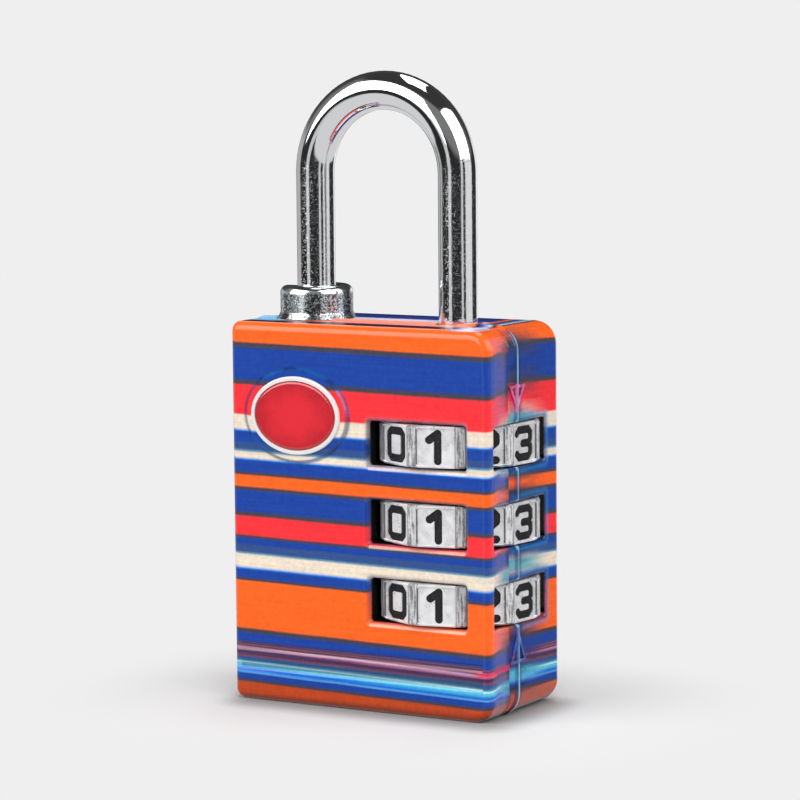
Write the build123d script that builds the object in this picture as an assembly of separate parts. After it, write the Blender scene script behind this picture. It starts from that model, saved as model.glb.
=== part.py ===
from build123d import *
import math
import os

# Three-dial luggage padlock with a key override, in millimetres.
# +X is towards the dials, -Y is the front, +Z is up.
# The origin is the middle of the bottom face that the body stands on.

# Driving dimensions of the body
body_width = 30.0
body_depth = 14.8
body_height = 38.6
front_y = -body_depth / 2
back_y = body_depth / 2
side_x = body_width / 2
split_y = -3.6
corner_left = 1.0
corner_right = 2.3
front_round = 0.9
back_round = 1.3
split_chamfer = 0.18
seam_y = -2.15
seam_width = 0.7
seam_proud = 0.18
flute_end = 1.0

# Shackle and the long axis that carries the dials
rod_radius = 1.95
axis_x = 7.4
toe_x = -9.1
bend_centre_z = 53.4
long_leg_bottom = 4.0
toe_bottom = 39.1
running = 0.08
snug = 0.05
beyond = 1.0

# Dials, sleeves and their pitch
dial_count = 3
dial_pitch = 7.84
dial_bottom_z = 11.4
dial_height = 4.1
dial_flat = 7.95
dial_rib = 8.16
dial_rest_angle = -6.0
digit_step = 36.0
panel_width = 4.0
panel_height = 3.74
panel_depth = 0.18
panel_corner = 0.3
digit_depth = 0.3
digit_fill = 0.2
stroke_width = 0.8
chamber_radius = 8.45
leaf_half_length = 4.4
leaf_half_height = 1.3
leaf_thickness = 0.25
leaf_tab = 1.65

sleeve_radius = 4.0
sleeve_bore = rod_radius + running
sleeve_length = 7.8
sleeve_top = 2.6
sleeve_recess_radius = 3.3
sleeve_recess_height = 3.0
pin_radius = 0.7
pin_reach = 3.1
pin_set = 1.1
pin_drop = 4.3
slot_width = 1.7
tooth_root = 3.5
tooth_tip = 4.85
tooth_reach = 6.0
tooth_angle = 14.0
tooth_low = 0.35
tooth_high = 1.35
dial_recess_radius = 5.05
dial_tooth_low = 0.2
bush_radius = 3.2
seat_bottom = 2.2
seat_top = 2.6
spring_wire = 0.28

# Windows that show the dials
window_left = 1.15
window_right = 12.1
window_height = 4.4
window_drop = 0.05
window_corner = 0.35
window_lip = 0.6
side_lip = 0.3
mark_half_width = 1.6
mark_line = 0.3
side_window_front = -6.6
side_window_back = 3.85

# Key override below and around the toe of the shackle
housing_radius = 4.5
plug_radius = 3.0
housing_bottom = 0.3
housing_top = 15.0
plug_flange_radius = 3.6
plug_flange_height = 0.8
plug_top = 17.0
clip_room_radius = 4.2
shaft_room_radius = 2.4
shaft_radius = 1.7
shaft_foot_radius = 2.2
plug_clip_radius = 3.7
plug_groove_radius = 2.5
collar_clip_radius = 3.6
wafer_count = 5
wafer_pitch = 2.2
wafer_first_z = 3.2
wafer_thickness = 0.7
wafer_half = 1.3
wafer_half_length = 2.6
wafer_ear = 2.2
wafer_spring_radius = 0.24
wafer_spring_wire = 0.07
wafer_spring_x = 1.77
keyway_half = 0.55
keyway_top = 14.4
clip_slot_half = 1.1
blade_half = 0.55
top_wall = 1.8
stem_radius = 2.6
stem_bottom = 33.05
stem_groove_radius = 2.1

# Collar round the toe of the shackle
collar_radius = 3.7
collar_top = 42.0
collar_round = 0.8
collar_flare_radius = 3.97
collar_flare_height = 0.6
collar_floor = 39.05

# Badge boss on the front
badge_x = -7.05
badge_z = 29.4
boss_half_width = 6.0
boss_half_height = 4.7
boss_proud = 0.25
badge_floor = 0.3
badge_bed = 0.1
rim_half_width = 5.2
rim_half_height = 3.95
rim_wall = 0.45

# Small fasteners
rivet_radius = 0.8
pin_for_housing_radius = 0.6
pin_for_housing_z = 8.0

ceiling_z = body_height - top_wall
dial_levels = [dial_bottom_z + dial_pitch * i for i in range(dial_count)]


def save(node, shape):
    """Write one node's solids to its own STEP file."""
    export_step(shape, f"parts/{node}.step")


def block(x0, x1, y0, y1, z0, z1):
    """Box from its two corners."""
    middle = ((x0 + x1) / 2, (y0 + y1) / 2, (z0 + z1) / 2)
    return Pos(*middle) * Box(x1 - x0, y1 - y0, z1 - z0)


def post(x, y, radius, z0, z1):
    """Upright cylinder between two heights."""
    return Pos(x, y, (z0 + z1) / 2) * Cylinder(radius, z1 - z0)


def along_y(x, z, radius, y0, y1):
    """Cylinder that runs front to back."""
    return Pos(x, (y0 + y1) / 2, z) * Rot(90, 0, 0) * Cylinder(radius, y1 - y0)


def outline(grow=0.0):
    """Front outline of the body, drawn in the XZ plane with its own corner radii."""
    left = -side_x - grow
    right = side_x + grow
    low = -grow
    high = body_height + grow
    path = FilletPolyline(
        (left, low), (right, low), (right, high), (left, high),
        radius=[corner_left + grow, corner_right + grow, corner_right + grow, corner_left + grow],
        close=True)
    return make_face(Plane.XZ * path)


def slab(grow, y0, y1):
    """The body's outline carried from y0 to y1."""
    return Pos(0, y1, 0) * extrude(outline(grow), y1 - y0)


def body_block():
    """Whole outside of the body, before it is split into cover and rear body."""
    whole = slab(0, front_y, back_y)
    faces = whole.faces().sort_by(Axis.Y)
    whole = fillet(faces[0].edges(), front_round)
    back_edges = whole.faces().sort_by(Axis.Y)[-1].edges()
    return fillet(back_edges, back_round)


def window_cutter(width, height, lip, depth):
    """Opening along -Z below a mouth plate, with the corner between them rounded to leave a soft lip."""
    hole = fillet(Rectangle(width, height).vertices(), window_corner)
    shaft = extrude(hole, depth, dir=(0, 0, -1))
    reach = lip + snug
    plate = fillet(Rectangle(width + 2 * reach, height + 2 * reach).vertices(), window_corner + reach)
    cutter = shaft + extrude(plate, beyond)
    throat = [e for e in cutter.edges() if abs(e.center().Z) < 0.01
              and abs(e.center().X) < width / 2 + 0.01 and abs(e.center().Y) < height / 2 + 0.01]
    return fillet(throat, lip)


def window_cutters():
    """Soft-lipped window openings through front and back, and in the dial side of the body."""
    cutters = []
    middle_x = (window_left + window_right) / 2
    side_middle = (side_window_front + side_window_back) / 2
    side_span = side_window_back - side_window_front
    half = Pos(0, 0, back_y) * window_cutter(window_right - window_left, window_height, window_lip, back_y)
    through = half + Rot(180, 0, 0) * half
    side_cutter = window_cutter(side_span, window_height - 0.04, side_lip, 7.0)
    for level in dial_levels:
        height = level - window_drop
        cutters.append(Pos(middle_x, 0, height) * Rot(90, 0, 0) * through)
        cutters.append(Pos(side_x, side_middle, height) * Rot(0, 90, 0) * Rot(0, 0, 90) * side_cutter)
    return cutters


def dial_chambers(reach_front):
    """Pockets for the dials; reach_front opens them to the split so that the dials slide in."""
    cutters = []
    for level in dial_levels:
        low = level - dial_height / 2 - 0.03
        high = level + window_height / 2 - 0.05
        cutters.append(post(axis_x, 0, chamber_radius, low, high))
        if reach_front:
            cutters.append(block(axis_x - chamber_radius, axis_x + chamber_radius, split_y, 0, low, high))
    return cutters


def mechanism_cutters(reach_front):
    """Spaces for the sleeves, their spring, the bush, the key cylinder and the override shaft."""
    stack_low = seat_bottom
    stack_high = dial_levels[-1] + sleeve_top + 0.04
    bush_low = dial_levels[-1] + pin_lift_top() + 0.06
    cutters = [
        post(axis_x, 0, sleeve_radius + running, stack_low, stack_high),
        post(axis_x, 0, sleeve_recess_radius + 0.1, stack_low, bush_low),
        post(axis_x, 0, bush_radius, bush_low, ceiling_z),
        post(axis_x, 0, rod_radius + running, ceiling_z, body_height + beyond),
        post(toe_x, 0, housing_radius, -beyond, housing_top),
        post(toe_x, 0, clip_room_radius, housing_top, plug_top + 0.2),
        post(toe_x, 0, shaft_room_radius, plug_top, stem_bottom - 0.3),
        post(toe_x, 0, collar_clip_radius + 0.3, stem_bottom - 0.3, ceiling_z),
        post(toe_x, 0, stem_radius + 0.06, ceiling_z, body_height + beyond),
    ]
    if reach_front:
        wide = sleeve_radius + running
        cutters.append(block(axis_x - wide, axis_x + wide, split_y, 0, stack_low, stack_high))
        wide = sleeve_recess_radius + 0.1
        cutters.append(block(axis_x - wide, axis_x + wide, split_y, 0, stack_high, bush_low))
        wide = bush_radius
        cutters.append(block(axis_x - wide, axis_x + wide, split_y, 0, bush_low, ceiling_z))
    return cutters


def pin_lift_top():
    """Height of a lock pin's top above its dial's middle when the shackle is up."""
    return dial_pitch - pin_drop + pin_radius


def rivet_places():
    """Where the rivets join the cover to the rear body."""
    return [(-13.2, 19.5), (-13.2, 28.5), (13.0, 35.0), (13.0, 3.0), (-1.5, 2.6), (-1.5, 34.5)]


def rivets():
    """Rivets hidden between the cover and the rear body."""
    return [along_y(x, z, rivet_radius, front_y + 1.3, 0.6) for x, z in rivet_places()]


def housing_pin():
    """Cross pin that keys the cylinder housing to the rear body."""
    return along_y(toe_x + housing_radius, pin_for_housing_z, pin_for_housing_radius, split_y + snug, 4.6)


def detent_leaf(level):
    """Flat leaf that lies on the dial's inner facet, with an anchor tab at its rear end."""
    low = level - leaf_half_height
    high = level + leaf_half_height
    back = -dial_flat - 0.01 - leaf_thickness
    strip = block(back, -dial_flat - 0.01, -leaf_half_length, leaf_half_length, low, high)
    tab = block(back - leaf_tab, back, leaf_half_length - leaf_thickness, leaf_half_length, low, high)
    return Pos(axis_x, 0, 0) * Rot(0, 0, dial_rest_angle) * (strip + tab)


def detent_pocket(level):
    """Room behind the leaf for it to flex as a facet's corner passes."""
    half_length = leaf_half_length + 0.1
    half_height = leaf_half_height + 0.1
    relief = block(-dial_flat - 0.75, -dial_flat + 0.6, -half_length, half_length,
                   level - half_height, level + half_height)
    slot = block(-dial_flat - leaf_thickness - leaf_tab - 0.1, -dial_flat - 0.2,
                 leaf_half_length - leaf_thickness, leaf_half_length,
                 level - leaf_half_height, level + leaf_half_height)
    return Pos(axis_x, 0, 0) * Rot(0, 0, dial_rest_angle) * (relief + slot)


def index_mark(tip_z, base_z):
    """Raised outline triangle on the dial side that points at the line of digits."""
    outer = Polyline((seam_y - mark_half_width, base_z), (seam_y + mark_half_width, base_z),
                     (seam_y, tip_z), close=True)
    face = make_face(outer)
    ring = face - offset(face, -mark_line)
    return Pos(side_x - snug, 0, 0) * extrude(Plane.YZ * ring, snug + seam_proud)


def seam_bead():
    """Rounded moulding seam round the rear body, left off the bottom face."""
    bead = slab(seam_proud, seam_y - seam_width / 2, seam_y + seam_width / 2)
    bead = chamfer(bead.faces().filter_by(Axis.Y).edges(), seam_proud * 0.8)
    return bead - block(-body_width, body_width, -body_depth, body_depth, -beyond, 0)


def flute(low, high, deep):
    """Round-bottomed groove along the foot of the cover, open at the left edge."""
    half = (high - low) / 2
    radius = (half ** 2 + deep ** 2) / (2 * deep)
    place = Pos(-flute_end, front_y + deep - radius, (low + high) / 2)
    return place * Rot(0, 90, 0) * Cylinder(radius, body_width)


def ellipse_disc(half_width, half_height, y0, y1):
    """Elliptical disc standing in the front face at the badge's place."""
    face = Pos(badge_x, y1, badge_z) * Rot(90, 0, 0) * Ellipse(half_width, half_height)
    return extrude(face, y1 - y0, dir=(0, -1, 0))


def front_cover():
    """Front casting with the windows, the foot flutes and the badge boss."""
    cover = body_block() & block(-body_width, body_width, -body_depth, split_y, -beyond, body_height + beyond)
    split_edges = cover.faces().sort_by(Axis.Y)[-1].edges()
    cover = chamfer(split_edges, split_chamfer)
    boss = ellipse_disc(boss_half_width, boss_half_height, front_y - boss_proud, front_y + 0.2)
    boss = chamfer(boss.faces().sort_by(Axis.Y)[0].edges(), 0.2)
    cover = cover + boss
    cover = cover - ellipse_disc(rim_half_width, rim_half_height, front_y - beyond, front_y + badge_floor)
    cover = cover - flute(4.75, 5.95, 0.45) - flute(2.8, 4.2, 0.5)
    cover = cover - window_cutters()
    cover = cover - dial_chambers(False)
    cover = cover - mechanism_cutters(False)
    return cover - rivets()


def rear_body():
    """Rear casting that holds the dials, the sleeves, the key cylinder and the shackle."""
    body = body_block() & block(-body_width, body_width, split_y, body_depth, -beyond, body_height + beyond)
    split_edges = body.faces().sort_by(Axis.Y)[0].edges()
    body = chamfer(split_edges, split_chamfer)
    under_collar = post(toe_x, 0, collar_flare_radius + 0.15, body_height, body_height + beyond)
    round_leg = post(axis_x, 0, rod_radius + 0.8, body_height, body_height + beyond)
    body = body + (seam_bead() - under_collar - round_leg)
    top_window = dial_levels[-1] + window_height / 2
    low_window = dial_levels[0] - window_height / 2
    body = body + index_mark(top_window + 1.1, top_window + 3.7)
    body = body + index_mark(low_window - 0.4, low_window - 3.8)
    body = body - window_cutters()
    body = body - dial_chambers(True)
    body = body - mechanism_cutters(True)
    body = body - [detent_pocket(level) for level in dial_levels]
    body = body - housing_pin()
    countersink = Pos(axis_x, 0, body_height - 0.25) * Cone(rod_radius + 0.1, rod_radius + 0.6, 0.5)
    body = body - countersink
    return body - rivets()


def shackle():
    """U-shaped rod with a short toe and a long leg that is drilled for the lock pins."""
    span = axis_x - toe_x
    middle_x = (axis_x + toe_x) / 2
    toe_line = Line((toe_x, 0, toe_bottom), (toe_x, 0, bend_centre_z))
    bend = ThreePointArc((toe_x, 0, bend_centre_z), (middle_x, 0, bend_centre_z + span / 2),
                         (axis_x, 0, bend_centre_z))
    long_line = Line((axis_x, 0, bend_centre_z), (axis_x, 0, long_leg_bottom))
    profile = Plane((toe_x, 0, toe_bottom)) * Circle(rod_radius)
    rod = sweep(profile, path=Wire([toe_line, bend, long_line]))
    ends = rod.faces().filter_by(Axis.Z).edges()
    return chamfer(ends, 0.3) - lock_pins()


def lock_pins():
    """Pins that stand out of the long leg, one under each dial's sleeve."""
    pins = []
    for level in dial_levels:
        reach = pin_reach + pin_set
        middle = axis_x + pin_set - reach / 2
        pins.append(Pos(middle, 0, level - pin_drop) * Rot(0, 90, 0) * Cylinder(pin_radius, reach))
    return pins


def leg_bush():
    """Bush round the long leg; the top lock pin stops against it when the shackle is up."""
    low = dial_levels[-1] + pin_lift_top() + 0.06
    bore = post(axis_x, 0, rod_radius + running, low - beyond, ceiling_z + beyond)
    return post(axis_x, 0, bush_radius, low, ceiling_z) - bore


def stroke(start, end):
    """Round-ended stroke of a digit between two points."""
    dx = end[0] - start[0]
    dy = end[1] - start[1]
    length = math.hypot(dx, dy)
    angle = math.degrees(math.atan2(dy, dx))
    middle = ((start[0] + end[0]) / 2, (start[1] + end[1]) / 2)
    return Pos(*middle) * Rot(0, 0, angle) * SlotCenterToCenter(length, stroke_width)


def digit_paths():
    """Centre lines of the ten digits, each in a box 2.3 wide and 2.7 high."""
    a = 1.15
    b = 0.8
    h = 1.35
    k = 1.0
    six = [(a, k), (b, h), (-b, h), (-a, k), (-a, -k), (-b, -h), (b, -h), (a, -k), (a, -0.25),
           (b, 0.1), (-a, 0.1)]
    return [
        [[(-b, h), (b, h), (a, k), (a, -k), (b, -h), (-b, -h), (-a, -k), (-a, k), (-b, h)]],
        [[(-0.7, 0.7), (0.2, h), (0.2, -h)]],
        [[(-a, k), (-b, h), (b, h), (a, k), (a, 0.4), (-a, -h), (a, -h)]],
        [[(-a, k), (-b, h), (b, h), (a, k), (a, 0.35), (b, 0), (-0.2, 0)],
         [(b, 0), (a, -0.35), (a, -k), (b, -h), (-b, -h), (-a, -k)]],
        [[(0.55, -h), (0.55, h), (-a, -0.5), (a, -0.5)]],
        [[(a, h), (-a, h), (-a, 0.15), (b, 0.15), (a, -0.2), (a, -k), (b, -h), (-b, -h), (-a, -k)]],
        [six],
        [[(-a, h), (a, h), (-0.25, -h)]],
        [[(-b, h), (b, h), (a, k), (a, 0.35), (b, 0), (-b, 0), (-a, 0.35), (-a, k), (-b, h)],
         [(b, 0), (a, -0.35), (a, -k), (b, -h), (-b, -h), (-a, -k), (-a, -0.35), (-b, 0)]],
        [[(-x, -y) for x, y in six]],
    ]


def digit_face(value):
    """Flat shape of one digit, made from its strokes."""
    face = None
    for path in digit_paths()[value]:
        for start, end in zip(path, path[1:]):
            piece = stroke(start, end)
            face = piece if face is None else face + piece
    return face


def on_facet(shape, value, distance):
    """Put a flat drawing on a dial facet, its upright along +Z, facing outwards."""
    angle = dial_rest_angle + (value - 3) * digit_step
    plane = Plane(origin=(distance, 0, 0), x_dir=(0, 1, 0), z_dir=(1, 0, 0))
    return Rot(0, 0, angle) * (plane * shape)


def dial_direction(value):
    """Outward direction of a dial facet."""
    angle = math.radians(dial_rest_angle + (value - 3) * digit_step)
    return (math.cos(angle), math.sin(angle), 0)


def tooth_ring(inner, outer, low, high, offset_angle):
    """Ten teeth between two radii; the first is centred on offset_angle."""
    teeth = []
    half = math.radians(tooth_angle / 2)
    for i in range(10):
        corners = [
            (inner * math.cos(half), -inner * math.sin(half)),
            (outer * math.cos(half), -outer * math.sin(half)),
            (outer * math.cos(half), outer * math.sin(half)),
            (inner * math.cos(half), inner * math.sin(half)),
        ]
        face = make_face(Polyline(*corners, close=True))
        tooth = extrude(Pos(0, 0, low) * face, high - low)
        teeth.append(Rot(0, 0, offset_angle + i * digit_step) * tooth)
    return teeth


def dial_blank():
    """Ten-sided dial with chamfered corners, a toothed bore and a release recess below the teeth."""
    half = dial_height / 2
    flats = RegularPolygon(dial_flat, 10, major_radius=False, rotation=18)
    ribs = RegularPolygon(dial_rib, 10, major_radius=False, rotation=0)
    blank = Pos(0, 0, -half) * extrude(flats & ribs, dial_height)
    blank = blank - post(0, 0, sleeve_radius + running, -half - beyond, half + beyond)
    valleys = post(0, 0, tooth_tip + 0.1, dial_tooth_low, half + beyond)
    wedge = tooth_ring(tooth_root, tooth_reach, dial_tooth_low, half + beyond, digit_step / 2)
    blank = blank - (valleys - wedge)
    blank = blank - post(0, 0, dial_recess_radius, -half - beyond, dial_tooth_low)
    outer_edges = [e for e in blank.edges() if abs(abs(e.center().Z) - half) < 0.01
                   and math.hypot(e.center().X, e.center().Y) > dial_flat - beyond]
    return chamfer(outer_edges, 0.2)


def dial_with_digits():
    """One dial at its own origin, and the ten paint fills of its digits."""
    dial = Rot(0, 0, dial_rest_angle) * dial_blank()
    fills = []
    for value in range(10):
        outward = dial_direction(value)
        inward = tuple(-c for c in outward)
        sheet = RectangleRounded(panel_width, panel_height, panel_corner)
        panel = on_facet(sheet, value, dial_flat + beyond)
        dial = dial - extrude(panel, beyond + panel_depth, dir=inward)
        floor = dial_flat - panel_depth
        letter = on_facet(digit_face(value), value, floor - digit_depth)
        dial = dial - extrude(letter, digit_depth + beyond, dir=outward)
        fills.append(extrude(letter, digit_fill, dir=outward))
    return dial, fills


def clutch_sleeve():
    """Keyed sleeve: the lock pin passes its slot, and its teeth drive the dial."""
    top = sleeve_top
    low = top - sleeve_length
    recess_top = low + sleeve_recess_height
    sleeve = post(0, 0, sleeve_radius, low, top)
    sleeve = sleeve + [t & post(0, 0, tooth_tip, 0, tooth_high + beyond) for t in
                       tooth_ring(tooth_root, tooth_reach, tooth_low, tooth_high, dial_rest_angle)]
    sleeve = sleeve - post(0, 0, sleeve_bore, low - beyond, top + beyond)
    sleeve = sleeve - post(0, 0, sleeve_recess_radius, low - beyond, recess_top)
    slot = block(-sleeve_recess_radius, 0, -slot_width / 2, slot_width / 2, recess_top - 0.1, top + beyond)
    return sleeve - slot


def coil(radius, wire, z0, z1, turns):
    """Round-wire compression spring standing on z0."""
    pitch = (z1 - z0 - 2 * wire) / turns
    path = Helix(pitch, pitch * turns, radius)
    start = path.position_at(0)
    section = Plane(origin=start, z_dir=path.tangent_at(0)) * Circle(wire)
    return Pos(0, 0, z0 + wire) * sweep(section, path=path, is_frenet=True)


def spring_seat():
    """Washer that the sleeve spring stands on."""
    hole = post(axis_x, 0, rod_radius + 0.4, seat_bottom - beyond, seat_top + beyond)
    return post(axis_x, 0, sleeve_radius, seat_bottom, seat_top) - hole


def sleeve_spring():
    """Spring that holds the stack of sleeves up in mesh with the dials."""
    stack_bottom = dial_levels[0] + sleeve_top - sleeve_length
    return Pos(axis_x, 0, 0) * coil(bush_radius, spring_wire, seat_top, stack_bottom, 3)


def cylinder_housing():
    """Brass shell of the key cylinder."""
    flange_top = housing_bottom + plug_flange_height + snug
    shell = post(toe_x, 0, housing_radius, housing_bottom, housing_top)
    shell = shell - post(toe_x, 0, plug_radius + snug, -beyond, housing_top + beyond)
    shell = shell - post(toe_x, 0, plug_flange_radius + snug, -beyond, flange_top)
    return shell - housing_pin()


def wafer_levels():
    """Heights of the wafers' undersides in the plug."""
    return [wafer_first_z + wafer_pitch * i for i in range(wafer_count)]


def key_plug():
    """Rotating plug with a keyway, wafer slots, spring pockets and a drive slot on top."""
    plug = post(0, 0, plug_radius, housing_bottom, plug_top)
    plug = plug + post(0, 0, plug_flange_radius, housing_bottom, housing_bottom + plug_flange_height)
    core = post(0, 0, plug_groove_radius, housing_top, plug_top)
    plug = plug - (post(0, 0, plug_radius + beyond, housing_top + 0.1, housing_top + 0.7) - core)
    plug = plug - block(-keyway_half, keyway_half, -2.3, 2.1, 0, keyway_top)
    plug = plug - block(-0.8, 0.0, -0.5, 0.5, 0, keyway_top)
    across = plug_radius + beyond
    for z in wafer_levels():
        low = z - snug
        high = z + wafer_thickness + snug
        plug = plug - block(-wafer_half - snug, wafer_half + snug, -across, across, low, high)
        plug = plug - block(wafer_half, wafer_ear + snug, -0.6, 1.7, low, high)
    drive_half = blade_half + snug
    plug = plug - block(-drive_half, drive_half, -across, across, housing_top + 0.9, plug_top + beyond)
    return Pos(toe_x, 0, 0) * plug


def wafers():
    """Spring-loaded plates of the key cylinder, drawn level with the plug as a key holds them."""
    plates = []
    for i, z in enumerate(wafer_levels()):
        shift = 0.25 * (-1) ** i
        plate = block(-wafer_half, wafer_half, -wafer_half_length, wafer_half_length, z, z + wafer_thickness)
        plate = plate + block(wafer_half - snug, wafer_ear, -0.25, 0.25, z, z + wafer_thickness)
        plate = plate - block(-0.7, 0.7, -1.5 + shift, 1.3 + shift, z - beyond, z + 2 * beyond)
        plates.append(Pos(toe_x, 0, 0) * plate)
    return plates


def wafer_springs():
    """Small coil springs that push the wafers' ears."""
    springs = []
    for z in wafer_levels():
        turned = Rot(-90, 0, 0) * coil(wafer_spring_radius, wafer_spring_wire, 0.25, 1.7, 4)
        springs.append(Pos(toe_x + wafer_spring_x, 0, z + wafer_thickness / 2) * turned)
    return springs


def open_ring(outer, inner, low, high):
    """C-clip on the toe's axis, open towards the dials."""
    ring = post(0, 0, outer, low, high) - post(0, 0, inner, low - beyond, high + beyond)
    gap = block(inner - 0.5, outer + beyond, -clip_slot_half, clip_slot_half, low - beyond, high + beyond)
    return Pos(toe_x, 0, 0) * (ring - gap)


def plug_clip():
    """C-clip that keeps the plug in its housing."""
    return open_ring(plug_clip_radius, plug_groove_radius + 0.02, housing_top + 0.12, housing_top + 0.65)


def override_shaft():
    """Shaft that carries the plug's turn up to the toe collar."""
    blade_low = housing_top + 0.95
    wide = shaft_foot_radius
    shaft = post(0, 0, shaft_radius, plug_top + snug, stem_bottom - snug)
    shaft = shaft + block(-blade_half, blade_half, -wide, wide, blade_low, plug_top + 0.1)
    shaft = shaft + post(0, 0, shaft_foot_radius, plug_top + snug, plug_top + 0.8)
    shaft = shaft + block(-blade_half, blade_half, -shaft_radius, shaft_radius,
                          stem_bottom - 0.1, stem_bottom + 1.2)
    return Pos(toe_x, 0, 0) * shaft


def toe_collar():
    """Collar that holds the toe of the shackle; its open side turns to the rear with the key."""
    foot = body_height + snug
    collar = post(0, 0, collar_radius, foot, collar_top)
    collar = fillet(collar.edges().sort_by(Axis.Z)[-1], collar_round)
    flare = Cone(collar_flare_radius, collar_radius, collar_flare_height)
    collar = collar + Pos(0, 0, foot + collar_flare_height / 2) * flare
    collar = collar + post(0, 0, stem_radius, stem_bottom, foot + snug)
    bore = rod_radius + running
    collar = collar - post(0, 0, bore, collar_floor, collar_top + beyond)
    collar = collar - block(-collar_radius - beyond, 0, -bore, bore, collar_floor, collar_top + beyond)
    slot_half = blade_half + snug
    collar = collar - block(-slot_half, slot_half, -shaft_radius - snug, shaft_radius + snug,
                            stem_bottom - beyond, stem_bottom + 1.3)
    neck = post(0, 0, stem_groove_radius, ceiling_z - beyond, ceiling_z)
    groove = post(0, 0, stem_radius + beyond, ceiling_z - 0.75, ceiling_z - 0.1) - neck
    return Pos(toe_x, 0, 0) * (collar - groove)


def collar_clip():
    """C-clip under the top wall that keeps the collar down."""
    return open_ring(collar_clip_radius, stem_groove_radius + 0.02, ceiling_z - 0.72, ceiling_z - 0.13)


def badge_rim():
    """White border of the badge, set in the boss."""
    outer = ellipse_disc(rim_half_width, rim_half_height, front_y - 0.45, front_y + badge_floor)
    outer = fillet(outer.faces().sort_by(Axis.Y)[0].edges(), 0.15)
    inner_width = rim_half_width - rim_wall
    inner_height = rim_half_height - rim_wall
    return outer - ellipse_disc(inner_width, inner_height, front_y - beyond, front_y + badge_bed)


def badge_enamel():
    """Plain domed enamel in the middle of the badge."""
    inner_width = rim_half_width - rim_wall
    inner_height = rim_half_height - rim_wall
    disc = ellipse_disc(inner_width, inner_height, front_y - 0.5, front_y + badge_bed)
    return fillet(disc.faces().sort_by(Axis.Y)[0].edges(), 0.3)


def build():
    """Make every node and write it."""
    os.makedirs("parts", exist_ok=True)
    save("front_cover", front_cover())
    save("rear_body", rear_body())
    save("cover_rivets", Compound(rivets()))
    save("shackle", shackle())
    save("lock_pins", Compound(lock_pins()))
    save("leg_bush", leg_bush())
    dial, fills = dial_with_digits()
    sleeve = clutch_sleeve()
    for number, level in enumerate(dial_levels, start=1):
        place = Pos(axis_x, 0, level)
        save(f"dial_wheel_{number}", place * dial)
        save(f"dial_digits_{number}", Compound([place * fill for fill in fills]))
        save(f"clutch_sleeve_{number}", place * sleeve)
        save(f"detent_leaf_{number}", detent_leaf(level))
    save("sleeve_spring", sleeve_spring())
    save("spring_seat", spring_seat())
    save("cylinder_housing", cylinder_housing())
    save("housing_pin", housing_pin())
    save("key_plug", key_plug())
    save("wafers", Compound(wafers()))
    save("wafer_springs", Compound(wafer_springs()))
    save("plug_clip", plug_clip())
    save("override_shaft", override_shaft())
    save("toe_collar", toe_collar())
    save("collar_clip", collar_clip())
    save("badge_rim", badge_rim())
    save("badge_enamel", badge_enamel())


build()
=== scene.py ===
import math

import bpy
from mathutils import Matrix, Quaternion, Vector


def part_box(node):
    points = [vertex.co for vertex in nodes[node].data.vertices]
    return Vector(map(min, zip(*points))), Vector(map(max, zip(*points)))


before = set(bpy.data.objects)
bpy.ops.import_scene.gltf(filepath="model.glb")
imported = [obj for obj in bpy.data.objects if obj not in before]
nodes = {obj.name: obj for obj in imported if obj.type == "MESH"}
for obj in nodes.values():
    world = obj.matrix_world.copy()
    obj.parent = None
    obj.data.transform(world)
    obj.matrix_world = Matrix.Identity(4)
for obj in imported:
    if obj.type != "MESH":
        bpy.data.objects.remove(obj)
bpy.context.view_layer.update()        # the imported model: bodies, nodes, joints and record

MM = 0.001


# ---------------------------------------------------------------- places, read from the imported parts

cover_low, cover_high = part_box("front_cover")
front_y = cover_low.y / MM
back_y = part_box("rear_body")[1].y / MM
top_z = cover_high.z / MM
half_width = cover_high.x / MM
split_y = cover_high.y / MM
wheel_boxes = [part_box(f"dial_wheel_{i}") for i in (1, 2, 3)]
levels = [(low.z + high.z) / 2 / MM for low, high in wheel_boxes]
pitch = levels[1] - levels[0]
axis_x = (wheel_boxes[0][0].x + wheel_boxes[0][1].x) / 2 / MM

badge_low, badge_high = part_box("badge_rim")
badge_x = (badge_low.x + badge_high.x) / 2 / MM
badge_z = (badge_low.z + badge_high.z) / 2 / MM
collar_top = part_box("toe_collar")[1].z / MM

# The rest are in mm, or in degrees for the dials.
WINDOW_LEFT, WINDOW_RIGHT = 1.15, 12.10         # the windows' sides on the front
SIDE_FRONT, SIDE_BACK = -6.60, 3.85             # and on the dial side
WINDOW_HALF = 2.2                               # half of a window's height
SEAT_HALF_X, SEAT_HALF_Z = 6.0, 4.7             # the badge's stepped seat
BEND_Z = 53.4                                   # where the shackle's straight legs end
SEAM_Y = -1.9                                   # the painted highlight line along the moulding seam
UPPER_MARK = (levels[-1] + 4.6, 1.35)           # the pointing marks: middle and half height
LOWER_MARK = (levels[0] - 4.3, 1.75)
DIAL_TURN = -6.0                                # the facet of digit 3, from +X
FACET = 36.0                                    # from one facet to the next
RIB_FROM, RIB_TO = 14.2, 14.8                   # where a facet turns into a rib, from its middle
RIB_EDGE = 14.3                                 # the painted shade line along that edge


# ---------------------------------------------------------------- colours

def srgb(red, green, blue):
    """A display colour from 0 to 255 as the linear colour that shaders take."""
    out = []
    for value in (red, green, blue):
        c = value / 255
        out.append(c / 12.92 if c <= 0.04045 else ((c + 0.055) / 1.055) ** 2.4)
    return (*out, 1.0)


ORANGE = (252, 101, 30)
CORAL = (250, 50, 58)
BLUE = (24, 66, 158)
SLATE = (50, 80, 138)
AZURE = (16, 128, 226)
MIST = (112, 158, 178)
CREAM = (233, 218, 198)
CHARCOAL = (68, 66, 76)
RUST = (190, 70, 30)
CYAN = (63, 165, 181)
INK = (16, 22, 54)
SALMON = (250, 146, 126)
LILAC = (244, 234, 250)
NAVY = (14, 40, 116)

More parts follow.
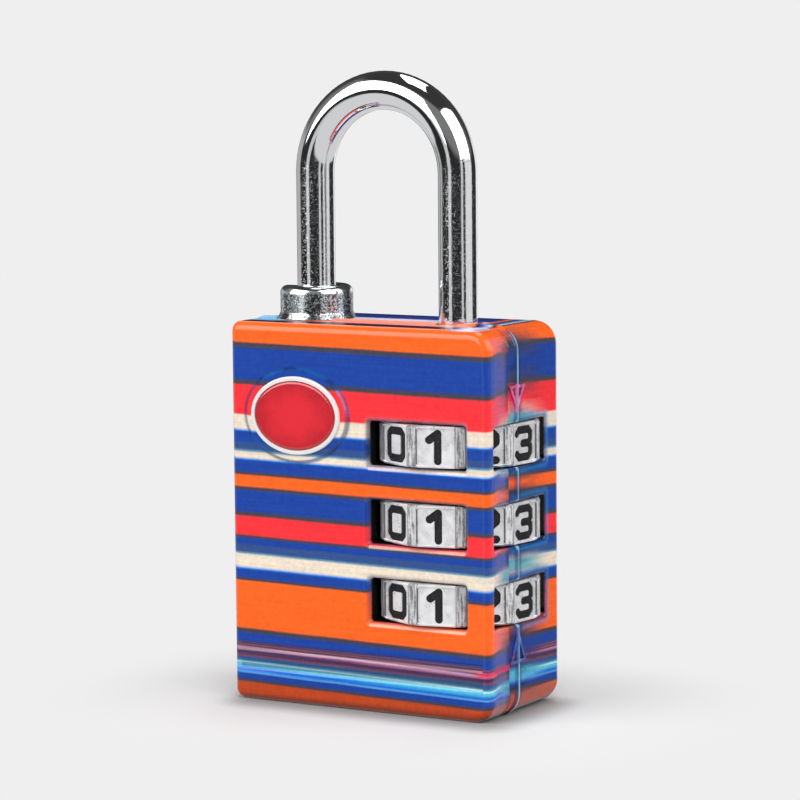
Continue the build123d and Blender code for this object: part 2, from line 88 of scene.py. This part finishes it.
# The film's stripes from the foot up: the colour, and the height in mm at which it ends.
STRIPES = [
    (RUST, 1.78),
    (CHARCOAL, 2.08),
    (BLUE, 2.70),
    ((88, 160, 220), 2.95),
    ((20, 92, 205), 3.10),
    ((40, 150, 215), 3.30),
    ((96, 196, 220), 3.60),
    ((214, 238, 240), 3.72),
    ((84, 180, 204), 3.88),
    ((60, 104, 150), 4.04),
    (SLATE, 4.42),
    ((120, 70, 84), 4.66),
    ((70, 46, 86), 5.00),
    ((152, 90, 116), 5.18),
    ((196, 150, 180), 5.28),
    ((92, 44, 72), 5.44),
    ((150, 84, 112), 5.62),
    ((70, 56, 96), 5.74),
    ((128, 84, 116), 5.86),
    ((60, 66, 120), 5.96),
    (BLUE, 6.88),
    (CHARCOAL, 7.34),
    (ORANGE, 12.23),
    (CHARCOAL, 12.50),
    (BLUE, 13.42),
    (AZURE, 13.64),
    (CREAM, 14.98),
    (MIST, 15.16),
    (SLATE, 15.95),
    (BLUE, 16.62),
    (CHARCOAL, 16.90),
    (CORAL, 18.86),
    (CHARCOAL, 19.30),
    (BLUE, 21.50),
    (CHARCOAL, 21.86),
    (ORANGE, 23.08),
    (CHARCOAL, 23.40),
    (BLUE, 24.60),
    (AZURE, 24.80),
    (CREAM, 25.46),
    (MIST, 25.66),
    (SLATE, 26.40),
    (BLUE, 27.50),
    (AZURE, 27.70),
    (CREAM, 29.18),
    (CORAL, 32.26),
    (CHARCOAL, 32.76),
    (BLUE, 36.02),
    (CHARCOAL, 36.54),
    (ORANGE, 39.30),
]


# ---------------------------------------------------------------- node helpers

class Tree:
    """A material or world node tree with short calls for the nodes used here."""

    def __init__(self, owner):
        owner.use_nodes = True
        self.owner = owner
        self.tree = owner.node_tree
        self.tree.nodes.clear()

    def put(self, target, value):
        if isinstance(value, bpy.types.NodeSocket):
            self.tree.links.new(value, target)
        else:
            target.default_value = value

    def node(self, kind, inputs=None, **settings):
        made = self.tree.nodes.new("ShaderNode" + kind)
        for key, value in settings.items():
            setattr(made, key, value)
        for key, value in (inputs or {}).items():
            self.put(made.inputs[key], value)
        return made

    def math(self, operation, a, b=0.0, c=0.0):
        made = self.node("Math", operation=operation)
        for socket, value in zip(made.inputs, (a, b, c)):
            self.put(socket, value)
        return made.outputs[0]

    def add(self, a, b):
        return self.math("ADD", a, b)

    def sub(self, a, b):
        return self.math("SUBTRACT", a, b)

    def mul(self, a, b):
        return self.math("MULTIPLY", a, b)

    def high(self, a, b):
        return self.math("MAXIMUM", a, b)

    def low(self, a, b):
        return self.math("MINIMUM", a, b)

    def above(self, a, b):
        """1 where a is more than b, and 0 elsewhere."""
        return self.math("GREATER_THAN", a, b)

    def step(self, value, start, end, low=0.0, high=1.0):
        """Smoothly from low to high as value goes from start to end."""
        return self.node("MapRange", interpolation_type="SMOOTHSTEP",
                         inputs={"Value": value, "From Min": start, "From Max": end,
                                 "To Min": low, "To Max": high}).outputs[0]

    def straight(self, value, start, end):
        """0 to 1 in a straight line as value goes from start to end."""
        return self.node("MapRange", interpolation_type="LINEAR",
                         inputs={"Value": value, "From Min": start,
                                 "From Max": end}).outputs[0]

    def line(self, value, middle, half, soft):
        """1 within half of the middle, then down to 0 over soft."""
        off = self.math("ABSOLUTE", self.sub(value, middle))
        return self.step(off, half, half + soft, 1.0, 0.0)

    def mix(self, factor, a, b, blend="MIX"):
        """Colour a, going to b or to the blend of both as the factor goes from 0 to 1."""
        made = self.node("Mix", data_type="RGBA", blend_type=blend, clamp_factor=True)
        self.put(made.inputs[0], factor)
        self.put(made.inputs[6], a)
        self.put(made.inputs[7], b)
        return made.outputs[2]

    def place(self):
        """The point in mm as a vector and as x, y and z, moving with the piece."""
        coords = self.node("TexCoord").outputs["Object"]
        scaled = self.node("VectorMath", operation="SCALE",
                           inputs={0: coords, "Scale": 1 / MM}).outputs[0]
        split = self.node("SeparateXYZ", inputs={0: scaled})
        return scaled, split.outputs[0], split.outputs[1], split.outputs[2]

    def stretch(self, vector, x, y, z):
        return self.node("VectorMath", operation="MULTIPLY",
                         inputs={0: vector, 1: (x, y, z)}).outputs[0]

    def noise(self, vector, scale, detail=2.0, roughness=0.5):
        return self.node("TexNoise", inputs={"Vector": vector, "Scale": scale,
                                             "Detail": detail,
                                             "Roughness": roughness}).outputs[0]

    def bump(self, height, depth, strength):
        """The normal of a relief that is depth mm deep."""
        return self.node("Bump", inputs={"Strength": strength, "Distance": depth * MM,
                                         "Height": height}).outputs[0]

    def surface(self, **sockets):
        """A principled shader with these sockets set, and the finished material."""
        shader = self.node("BsdfPrincipled")
        for key, value in sockets.items():
            self.put(shader.inputs[key.replace("_", " ")], value)
        out = self.node("OutputMaterial")
        self.tree.links.new(shader.outputs[0], out.inputs[0])
        return self.owner


def material(name):
    return Tree(bpy.data.materials.new(name))


def give(made, *names):
    """The CAD nodes take this material."""
    for name in names:
        mesh = nodes[name].data
        mesh.materials.clear()
        mesh.materials.append(made)


# ---------------------------------------------------------------- the printed film

RAMP_SIZE = 28          # stops in one colour ramp
EDGE = 0.17             # width in mm of the run between two stripes
BROAD = 0.24            # a stripe wider than this is still seen out of focus
TILT = 0.0155           # the film leans this much: mm of height for each mm across
LEFT_X = -13.7          # the lean is measured from here
WANDER = 0.16           # the range in mm over which a boundary strays from straight
FRONT_LIFT = 0.35       # the stripes run this much higher on the cover's sides, in mm
REAR_LIFT = 1.4         # and this much on the rear body, at the split
REAR_FALL = 0.6         # with this taken off by the back face


def ramp(t, value, stops):
    """Colours at given values, with a smooth run between them, from as many ramp nodes as needed."""
    colour = None
    for first in range(0, len(stops) - 1, RAMP_SIZE - 1):
        part = stops[first:first + RAMP_SIZE]
        low, high = part[0][0], part[-1][0]
        made = t.node("ValToRGB")
        elements = made.color_ramp.elements
        elements.remove(elements[-1])
        for i, (at, shade) in enumerate(part):
            position = (at - low) / (high - low)
            element = elements[0] if i == 0 else elements.new(position)
            element.position = position
            element.color = srgb(*shade)
        t.put(made.inputs[0], t.straight(value, low, high))
        made = made.outputs[0]
        colour = made if colour is None else t.mix(t.above(value, low), colour, made)
    return colour


def stripes(t, height):
    """The film's colour at a height in mm."""
    stops, foot = [], 0.0
    for colour, top in STRIPES:
        half = min(EDGE, (top - foot) * 0.49) / 2
        stops.append((foot + half, colour))
        if top - foot > EDGE * 1.5:
            stops.append((top - half, colour))
        foot = top
    return ramp(t, height, stops)


def soft_stripes(t, height):
    """The same film stretched out of focus: one stop in the middle of each broad stripe."""
    stops, foot = [], 0.0
    for colour, top in STRIPES:
        if top - foot > BROAD:
            stops.append(((top + foot) / 2, colour))
        foot = top
    return ramp(t, height, stops)


def past(t, value, low, high):
    """How far a value lies outside a range, or 0."""
    return t.high(t.high(t.sub(low, value), t.sub(value, high)), 0.0)


def window_distance(t, across, z, low, high):
    """Distance in mm from the nearest dial window's edge, on a face where across runs sideways."""
    band = t.low(t.high(z, levels[0]), levels[-1])
    row = t.math("ROUND", t.math("DIVIDE", t.sub(band, levels[0]), pitch))
    middle = t.add(t.mul(row, pitch), levels[0])
    dz = t.high(t.sub(t.math("ABSOLUTE", t.sub(z, middle)), WINDOW_HALF), 0.0)
    dx = past(t, across, low, high)
    return t.math("SQRT", t.add(t.mul(dx, dx), t.mul(dz, dz)))


def depth_inside(t, x, y, z):
    """Distance in mm below the casting's outer faces."""
    sides = t.sub(half_width, t.math("ABSOLUTE", x))
    ends = t.low(t.sub(y, front_y), t.sub(back_y, y))
    return t.low(t.low(sides, ends), t.low(t.add(z, 1.0), t.sub(top_z, z)))


def badge_reach(t, x, z):
    """Distance from the middle of the badge: 1 at the edge of its stepped seat."""
    flat = t.node("CombineXYZ", inputs={
        0: t.mul(t.sub(x, badge_x), 1 / SEAT_HALF_X),
        1: t.mul(t.sub(z, badge_z), 1 / SEAT_HALF_Z)}).outputs[0]
    return t.node("VectorMath", operation="LENGTH", inputs={0: flat}).outputs["Value"]


TOP_FILM = [            # across the top face from the front: y in mm, colour
    # the salmon line at -6.80 by the front edge is a painted highlight on the front fillet
    (-7.4, ORANGE), (-6.95, ORANGE), (-6.80, SALMON), (-6.65, (250, 130, 90)), (-6.55, INK),
    (-4.60, INK), (-4.20, SALMON), (-1.50, SALMON), (-1.10, LILAC), (1.50, LILAC),
    (1.90, (120, 120, 200)), (2.40, (40, 60, 150)), (5.40, NAVY), (6.40, (8, 56, 92)), (7.40, NAVY),
]
REAR_END = [            # along the top of the rear body beside the long leg: x in mm, colour
    (9.8, ORANGE), (10.5, (244, 120, 60)), (10.9, INK), (11.5, (60, 92, 168)), (12.3, (176, 196, 214)),
    (12.8, INK), (13.3, ORANGE), (15.0, ORANGE),
]
FRONT_END = [           # and along the top of the cover
    (9.8, NAVY), (10.6, (150, 160, 206)), (11.8, (226, 222, 240)), (12.9, (176, 178, 214)),
    (13.5, (232, 130, 92)), (15.0, ORANGE),
]


def seam(t, p, y, on_side, colour):
    """The moulding seam on the dial side: a painted highlight line with painted shade on either side.
    """
    faded = t.step(t.noise(t.stretch(p, 1, 1, 0.4), 0.6, 2.0), 0.3, 0.6, 0.45, 1.0)
    # painted shade beside the seam, and a painted highlight line on its crest
    seam_flank_shade = t.mul(t.line(y, SEAM_Y, 0.40, 0.50), on_side)
    colour = t.mix(t.mul(seam_flank_shade, 0.55), colour, srgb(20, 44, 100))
    seam_highlight = t.mul(t.line(y, SEAM_Y, 0.14, 0.28), on_side)
    return t.mix(t.mul(seam_highlight, t.mul(faded, 0.85)), colour, srgb(150, 208, 230))


def pointing_marks(t, x, y, z, on_side, blotch, colour):
    """The two raised triangles on the seam, pink above and blue below, and the film in them."""
    upper = t.above(z, levels[1])
    rows = t.high(t.line(z, *UPPER_MARK, 0.1), t.line(z, *LOWER_MARK, 0.1))
    mark = t.mul(t.step(x, half_width + 0.06, half_width + 0.14), rows)
    tint = t.mix(upper, srgb(84, 108, 186), srgb(222, 112, 172))
    colour = t.mix(t.mul(mark, t.step(blotch, 0.35, 0.6, 0.35, 0.75)), colour, tint)
    inner = t.mul(t.mul(rows, t.line(y, SEAM_Y - 0.25, 1.0, 0.6)), t.sub(1.0, mark))
    shade = t.mix(upper, srgb(34, 40, 120), srgb(150, 40, 110))
    return t.mix(t.mul(t.mul(inner, on_side), 0.4), colour, shade)


def cover_details(t, x, y, z, height, on_dial_side, halo, colour):
    """What the cover's film has and the rear body's has not, and a painted sheen by the front corner.
    """
    # painted sheen: a lilac haze on the strip beside the front corner
    corner_sheen = t.mul(t.step(y, front_y + 0.6, front_y + 1.3),
                  t.step(y, split_y - 1.2, split_y - 0.2, 1.0, 0.0))
    colour = t.mix(t.mul(t.mul(on_dial_side, corner_sheen), 0.20), colour, srgb(176, 166, 214))
    # red where the flute ends at the corner
    corner = t.mul(t.step(x, 12.4, 14.0), t.line(height, 5.30, 0.16, 0.2))
    colour = t.mix(t.mul(corner, 0.8), colour, srgb(222, 52, 92))
    # a dark ring round the badge's seat
    ring = t.mul(t.line(badge_reach(t, x, z), 1.0, 0.015, 0.05),
                 t.step(y, front_y + 0.4, front_y + 0.6, 1.0, 0.0))
    return t.mix(t.mul(ring, 0.6), colour, halo)


def top_face(t, x, y, rear):
    """The top's own run of colours, with another at the dial end, and a light blue painted reflection
    at the opposite end.
    """
    across = ramp(t, y, TOP_FILM)
    end = ramp(t, x, REAR_END if rear else FRONT_END)
    across = t.mix(t.step(x, 9.6, 10.4), across, end)
    # painted reflection: light blue on the top at the end away from the dials
    left_end_reflection = t.mul(t.step(x, -12.0, -9.0, 1.0, 0.0), t.line(y, -1.4, 3.4, 0.6))
    return t.mix(left_end_reflection, across, srgb(134, 190, 226))


def weave(t, p, mottle, colour):
    """The threads of the woven print, and its mottling."""
    thread = t.noise(t.stretch(p, 0.10, 0.10, 5.0), 1.0, 3.0, 0.6)
    threads = t.mix(t.step(thread, 0.36, 0.64), (0.68, 0.70, 0.78, 1), (1.04, 1.04, 1.0, 1))
    clouds = t.mix(t.step(mottle, 0.36, 0.64), (0.74, 0.72, 0.80, 1), (1.04, 1.06, 1.0, 1))
    return t.mix(0.4, t.mix(0.3, colour, threads, "MULTIPLY"), clouds, "MULTIPLY")


def printed(name, rear):
    """The striped film under lacquer, on the cover or on the rear body."""
    t = material(name)
    p, x, y, z = t.place()
    lean = t.mul(t.add(x, -LEFT_X), TILT)
    wander = t.mul(t.sub(t.noise(p, 0.11, 2.0), 0.5), WANDER)
    if rear:
        lift = t.sub(REAR_LIFT, t.mul(t.straight(y, split_y, back_y), REAR_FALL))
        near_split = t.step(y, split_y + 3.0, split_y + 8.5, 1.0, 0.0)
    else:
        lift = t.step(y, front_y, front_y + 2.0, 0.0, FRONT_LIFT)
        near_split = t.step(y, split_y - 2.8, split_y - 0.8)
    height = t.add(t.sub(t.add(z, lean), lift), wander)
    on_side = t.step(t.math("ABSOLUTE", x), half_width - 1.2, half_width - 0.4)
    on_dial_side = t.step(x, half_width - 0.8, half_width - 0.3)

    # out of focus towards the split, and a little at the windows' lips
    front_rim = window_distance(t, x, z, WINDOW_LEFT, WINDOW_RIGHT)
    side_rim = window_distance(t, y, z, SIDE_FRONT, SIDE_BACK)
    blotch = t.noise(p, 0.9, 3.0)
    side_lip = t.mul(t.step(side_rim, 0.15, 1.0, 1.0, 0.0),
                     t.mul(on_dial_side, t.step(y, split_y, split_y + 1.5)))
    front_lip = t.mul(t.step(front_rim, 0.08, 0.40, 1.0, 0.0), t.sub(1.0, on_side))
    lip = t.high(side_lip, front_lip)
    blur = t.high(t.mul(near_split, t.step(blotch, 0.2, 0.6, 0.6, 1.0)), t.mul(lip, 0.45))
    colour = t.mix(blur, stripes(t, height), soft_stripes(t, height))

    # the pale stripes turn cyan beside the split, and the lips of the windows turn dark blue
    patchy = t.mul(near_split, on_side)
    pale = t.node("RGBToBW", inputs={0: colour}).outputs[0]
    colour = t.mix(t.mul(t.step(pale, 0.34, 0.55), t.mul(patchy, 0.85)), colour, srgb(*CYAN))
    halo = t.mix(t.step(t.noise(p, 0.5, 2.0), 0.4, 0.6), srgb(0, 92, 158), srgb(14, 40, 84))
    side_halo = t.mix(t.step(side_rim, 0.1, 0.5), srgb(8, 40, 92), srgb(34, 140, 200))
    upper_lip = t.step(z, levels[1] + 3.0, levels[1] + 4.2, 0.16, 0.62)
    colour = t.mix(t.mul(front_lip, upper_lip), colour, halo)
    colour = t.mix(t.mul(side_lip, 0.70), colour, side_halo)

    # a pale line below each window on the front, a painted highlight on the lower lips, and dark
    # smears beside the split
    storey = t.math("FLOORED_MODULO", t.sub(z, levels[0] - pitch / 2), pitch)
    below = t.above(pitch / 2 - WINDOW_HALF, storey)
    across_window = t.mul(t.above(x, WINDOW_LEFT), t.above(WINDOW_RIGHT, x))
    # painted highlight along the lower lip of each front window
    stretched = t.mul(t.line(front_rim, 0.34, 0.08, 0.12), t.mul(below, across_window))
    colour = t.mix(t.mul(stretched, 0.42), colour, srgb(255, 214, 186))
    smear = t.step(t.noise(t.stretch(p, 1, 0.25, 1.4), 0.8, 2.0), 0.45, 0.75)
    colour = t.mix(t.mul(smear, t.mul(patchy, 0.5)), colour, srgb(16, 40, 84))

    if rear:
        colour = seam(t, p, y, on_side, colour)
        colour = pointing_marks(t, x, y, z, on_side, blotch, colour)
    else:
        colour = cover_details(t, x, y, z, height, on_dial_side, halo, colour)
    on_top = t.step(z, top_z - 0.16, top_z - 0.05)
    colour = t.mix(on_top, colour, top_face(t, x, y, rear))
    mottle = t.noise(p, 2.2, 4.0, 0.7)
    colour = weave(t, p, mottle, colour)

    # painted shade: browner and darker towards the foot, a dark line along the foot's edge, and
    # near-black inside the casting
    foot = t.add(z, t.mul(t.sub(mottle, 0.5), 0.3))
    colour = t.mix(t.step(foot, 0.05, 1.1, 0.45, 0.0), colour, srgb(58, 40, 30))
    # painted shade: a dark line along the foot's edge
    foot_edge_shade = t.mul(t.step(foot, 0.30, 0.42, 1.0, 0.0), t.step(y, split_y - 2.5, split_y - 1.5))
    colour = t.mix(foot_edge_shade, colour, srgb(12, 16, 34))
    # painted shade: the casting's inside made near-black
    deep = t.step(depth_inside(t, x, y, z), 0.62, 0.92)
    colour = t.mix(deep, colour, srgb(15, 15, 18))

    # the lacquer is thin on the top and near the foot, and stops at the openings
    lacquer = t.mul(t.sub(1.0, t.high(deep, t.mul(on_top, 0.8))), t.step(z, 1.0, 3.0, 0.2, 0.8))
    normal = t.bump(t.noise(p, 1.6, 2.0), 0.02, 0.35)
    return t.surface(Base_Color=colour, Roughness=t.step(mottle, 0.2, 0.8, 0.32, 0.5),
                     Normal=normal, Specular_IOR_Level=0.12,
                     Coat_Weight=lacquer, Coat_Roughness=0.06)


# ---------------------------------------------------------------- metals

def polished_chrome():
    """Mirror plating, with drawn marks and fine pits on the straight legs only."""
    t = material("polished_chrome")
    p, _, _, z = t.place()
    legs = t.step(z, BEND_Z - 1.0, BEND_Z + 3.0, 1.0, 0.0)
    pits = t.step(t.noise(p, 8.0, 1.0, 0.6), 0.60, 0.70)
    haze = t.noise(p, 0.8, 4.0, 0.6)
    drawn = t.noise(t.stretch(p, 1.0, 1.0, 0.05), 3.0, 2.0)
    marks = t.mul(t.add(pits, t.mul(drawn, 0.3)), legs)
    normal = t.bump(marks, 0.007, 0.6)
    shine = t.step(haze, 0.3, 0.8, 0.03, 0.08)
    return t.surface(Base_Color=srgb(236, 237, 239), Metallic=1.0,
                     Roughness=t.add(shine, t.mul(t.mul(pits, legs), 0.16)), Normal=normal)


def cast_chrome():
    """Plating over a grainy casting: smooth at the top rim, speckled down the wall."""
    t = material("cast_chrome")
    p, _, _, z = t.place()
    grain = t.noise(p, 3.8, 1.5, 0.7)
    crown = t.step(z, collar_top - 1.0, collar_top - 0.5)
    wall = t.sub(1.0, crown)
    normal = t.bump(t.mul(t.step(grain, 0.35, 0.65), wall), 0.009, 1.0)
    zone = t.noise(t.stretch(p, 0.5, 0.5, 0.05), 1.0, 1.0)
    fine = t.noise(p, 9.0, 2.0, 0.7)
    depth = t.add(t.mul(t.add(grain, fine), 0.5), t.mul(t.sub(zone, 0.5), 0.5))
    pits = t.mul(t.step(depth, 0.46, 0.53, 1.0, 0.0), wall)
    foot = t.step(z, top_z + 0.4, top_z + 0.8, 0.85, 0.0)
    foot = t.mul(foot, t.step(depth, 0.44, 0.58, 1.0, 0.35))
    colour = t.mix(t.high(t.mul(pits, 0.9), foot), srgb(234, 241, 244), srgb(24, 25, 28))
    return t.surface(Base_Color=colour, Metallic=t.sub(1.0, t.mul(wall, 0.15)),
                     Roughness=t.add(t.step(grain, 0.3, 0.7, 0.08, 0.18), t.mul(wall, 0.04)),
                     Normal=normal)


def dial_chrome():
    """Satin plating: bright facets, and ribs between them with upright grain and a painted shade line
    at their edges.
    """
    t = material("dial_chrome")
    p, x, y, _ = t.place()
    around = t.math("DEGREES", t.math("ARCTAN2", y, t.sub(x, axis_x)))
    turned = t.math("FLOORED_MODULO", t.sub(around, DIAL_TURN - FACET / 2), FACET)
    from_middle = t.math("ABSOLUTE", t.sub(turned, FACET / 2))
    rib = t.step(from_middle, RIB_FROM, RIB_TO)
    upright = t.noise(t.stretch(p, 1.0, 1.0, 0.10), 5.0, 2.0, 0.6)
    speck = t.noise(p, 4.0, 2.0, 0.6)
    satin = t.noise(p, 1.0, 2.0, 0.5)
    height = t.mul(rib, t.add(upright, t.mul(speck, 0.35)))
    normal = t.bump(height, 0.03, 0.7)
    # painted shade: a dark line where each facet meets its rib
    edge = t.line(from_middle, RIB_EDGE, 0.10, 0.40)
    stain = t.mul(rib, t.step(t.add(upright, t.mul(speck, 0.3)), 0.50, 0.75, 0.75, 0.15))
    worn = t.mix(t.step(satin, 0.35, 0.7), srgb(236, 236, 239), srgb(248, 248, 250))
    colour = t.mix(t.high(stain, t.mul(edge, 0.8)), worn, srgb(72, 72, 76))
    return t.surface(Base_Color=colour, Metallic=0.5,
                     Roughness=t.add(t.step(satin, 0.3, 0.7, 0.26, 0.36), t.mul(rib, 0.04)),
                     Normal=normal)


def digit_paint():
    """Black fill, greyer where it is worn."""
    t = material("digit_paint")
    p = t.place()[0]
    grain = t.noise(p, 6.0, 3.0, 0.6)
    normal = t.bump(grain, 0.05, 0.8)
    return t.surface(Base_Color=t.mix(t.step(grain, 0.45, 0.75), srgb(8, 8, 9), srgb(48, 48, 52)),
                     Roughness=t.step(grain, 0.3, 0.7, 0.34, 0.6), Normal=normal,
                     Specular_IOR_Level=0.35)


def plain_metal(name, base, worn, rough):
    """Bare metal with a faint grain."""
    t = material(name)
    p = t.place()[0]
    grain = t.noise(p, 2.5, 4.0, 0.65)
    normal = t.bump(grain, 0.03, 0.6)
    return t.surface(Base_Color=t.mix(t.step(grain, 0.35, 0.7), srgb(*base), srgb(*worn)),
                     Metallic=1.0, Roughness=t.step(grain, 0.2, 0.8, rough, rough + 0.16),
                     Normal=normal)


def enamel(name, colour, deep):
    """Glossy enamel: deeper in colour towards the rim, with a faint grain under the clear."""
    t = material(name)
    p, x, _, z = t.place()
    cloud = t.mul(t.sub(t.noise(p, 0.7, 3.0), 0.5), 0.4)
    grain = t.mul(t.sub(t.noise(p, 7.0, 2.0), 0.5), 0.5)
    depth = t.step(t.add(badge_reach(t, x, z), t.add(cloud, grain)), 0.25, 0.85)
    normal = t.bump(t.noise(p, 0.5, 1.0), 0.05, 0.5)
    return t.surface(Base_Color=t.mix(depth, srgb(*colour), srgb(*deep)),
                     Roughness=0.3, Normal=normal, Coat_Weight=1.0, Coat_Roughness=0.05)


wheels, digits = ([f"{part}_{i}" for i in (1, 2, 3)] for part in ("dial_wheel", "dial_digits"))
give(printed("film_front", False), "front_cover")
give(printed("film_rear", True), "rear_body")
give(polished_chrome(), "shackle")
give(cast_chrome(), "toe_collar")
give(dial_chrome(), *wheels)
give(digit_paint(), *digits)
give(enamel("badge_enamel", (216, 24, 44), (176, 8, 28)), "badge_enamel")
give(enamel("badge_border", (240, 238, 236), (220, 214, 212)), "badge_rim")
brass = plain_metal("brass", (190, 150, 82), (214, 178, 104), 0.22)
steel = plain_metal("steel", (150, 152, 156), (196, 198, 202), 0.24)
give(brass, "key_plug", "cylinder_housing", "wafers")
give(steel, *[n for n in nodes if n.split("_")[0] in ("clutch", "detent", "cover", "lock", "leg")],
     "sleeve_spring", "spring_seat", "housing_pin", "wafer_springs", "plug_clip",
     "override_shaft", "collar_clip")


# ---------------------------------------------------------------- camera

CAMERA_AT = Vector((169.60, -289.45, 67.70)) * MM
AZIMUTH, PITCH, ROLL = (math.radians(a) for a in (30.28, 6.32, -0.50))
FOCAL = 4.18625         # focal length in sensor widths

forward = Vector((-math.sin(AZIMUTH) * math.cos(PITCH), math.cos(AZIMUTH) * math.cos(PITCH),
                  -math.sin(PITCH)))
camera = bpy.data.objects.new("camera", bpy.data.cameras.new("camera"))
bpy.context.scene.collection.objects.link(camera)
camera.rotation_mode = "QUATERNION"
camera.location = CAMERA_AT
level = forward.to_track_quat("-Z", "Y")
camera.rotation_quaternion = level @ Quaternion((0, 0, 1), ROLL)
camera.data.sensor_width = 36.0
camera.data.lens = FOCAL * camera.data.sensor_width
camera.data.clip_start, camera.data.clip_end = 0.01, 20.0
bpy.context.scene.camera = camera


# ---------------------------------------------------------------- floor, light, background

BACKDROP = srgb(239, 239, 239)


def grey(value):
    return (value, value, value, 1)


PAINTED_SHADOW, OPEN = grey(0.33), grey(0.67)   # the floor's colour in the painted contact shadow beside the foot, and clear of it
CLEAR_OF = 5.5                          # mm from the foot at which the painted shadow is gone
FADE_FROM, FADE_TO = 2.0, 26.0          # mm over which the floor fades into the background


def floor():
    """The floor the lock stands on, with a contact shadow painted in beside the foot. It fades into
    the background away from the foot.
    """
    bpy.ops.mesh.primitive_circle_add(vertices=96, radius=0.42, fill_type="NGON")
    made = bpy.context.object
    made.name = "floor"
    t = material("floor")
    _, x, y, _ = t.place()
    off_x = past(t, x, 3.0 - half_width, half_width - 1.0)
    off_y = past(t, y, front_y + 0.5, back_y - 3.0)
    from_foot = t.math("SQRT", t.add(t.math("POWER", off_x, 2.0), t.math("POWER", off_y, 2.0)))
    # painted contact shadow: darker beside the foot
    pale = t.mix(t.step(from_foot, 0.3, CLEAR_OF), PAINTED_SHADOW, OPEN)
    diffuse = t.node("BsdfDiffuse", inputs={"Color": pale})
    glow = t.node("Emission", inputs={"Color": BACKDROP})
    both = t.node("MixShader", inputs={0: t.step(from_foot, FADE_FROM, FADE_TO),
                                       1: diffuse.outputs[0], 2: glow.outputs[0]})
    out = t.node("OutputMaterial")
    t.tree.links.new(both.outputs[0], out.inputs[0])
    made.data.materials.append(t.owner)
    made.visible_glossy = False         # the polished faces mirror the dark studio, not the sweep


AIM = Vector((0, 0, 0.03))


def softbox(name, azimuth, elevation, distance, width, height, power):
    """An area light aimed at the middle of the lock.

    Azimuth is from the front to the right and elevation is upward, in degrees. Distance and
    size are in m, and power is in W.
    """
    lamp = bpy.data.lights.new(name, "AREA")
    lamp.shape = "RECTANGLE"
    lamp.size, lamp.size_y = width, height
    lamp.energy = power
    made = bpy.data.objects.new(name, lamp)
    bpy.context.scene.collection.objects.link(made)
    a, e = math.radians(azimuth), math.radians(elevation)
    away = Vector((math.sin(a) * math.cos(e), -math.cos(a) * math.cos(e), math.sin(e)))
    made.location = AIM + away * distance
    made.rotation_mode = "QUATERNION"
    made.rotation_quaternion = away.to_track_quat("Z", "Y")
    return made


floor()
softbox("left_softbox", -34, 28, 0.9, 0.90, 0.70, 7.4)
softbox("right_softbox", 86, 36, 0.9, 1.15, 0.78, 7.6)
softbox("top_strip", 196, 74, 0.9, 0.30, 0.80, 2.6)
softbox("front_fill", 30, 55, 1.1, 0.4, 0.3, 3.0).visible_glossy = False

world = bpy.data.worlds.new("studio")
bpy.context.scene.world = world
w = Tree(world)
direction = w.node("TexCoord").outputs["Generated"]
split = w.node("SeparateXYZ", inputs={0: direction})
up = split.outputs[2]
around = w.math("ARCTAN2", split.outputs[0], w.mul(split.outputs[1], -1.0))
turn = w.mul(around, 180 / math.pi)


def band(middle, width, soft):
    """1 within width degrees round a direction from the front, then down to 0 over soft."""
    off = w.math("ABSOLUTE", w.math("WRAP", w.sub(turn, middle), 180.0, -180.0))
    return w.step(off, width / 2, width / 2 + soft, 1.0, 0.0)


PANELS = [              # the lit parts of a dark room: direction, width, soft edge, brightness
    (-18, 14, 4, 0.60), (56, 8, 4, 0.60), (99, 40, 5, 0.75), (181, 22, 6, 1.0),
    (-100, 44, 8, 0.45),
]
DARK = 0.025
walls = 0.0
for middle, width, soft, bright in PANELS:
    walls = w.add(walls, w.mul(band(middle, width, soft), bright))
walls = w.add(walls, DARK)
haze = w.add(w.mul(band(20, 190, 40), 0.16), 0.05)
room = w.mix(w.step(up, 0.10, 0.26), walls, haze)               # over the walls
room = w.mix(w.step(up, 0.70, 0.80), room, grey(0.04))          # the dark ceiling
room = w.mix(w.step(up, -0.21, -0.27), room, grey(0.72))        # and the bright floor
seen = w.node("LightPath").outputs["Is Camera Ray"]
shown = w.node("Background", inputs={"Color": BACKDROP})
lit = w.node("Background", inputs={"Color": room, "Strength": 1.0})
both = w.node("MixShader", inputs={0: seen, 1: lit.outputs[0], 2: shown.outputs[0]})
w.tree.links.new(both.outputs[0], w.node("OutputWorld").inputs[0])

bpy.context.scene.view_settings.view_transform = "Standard"
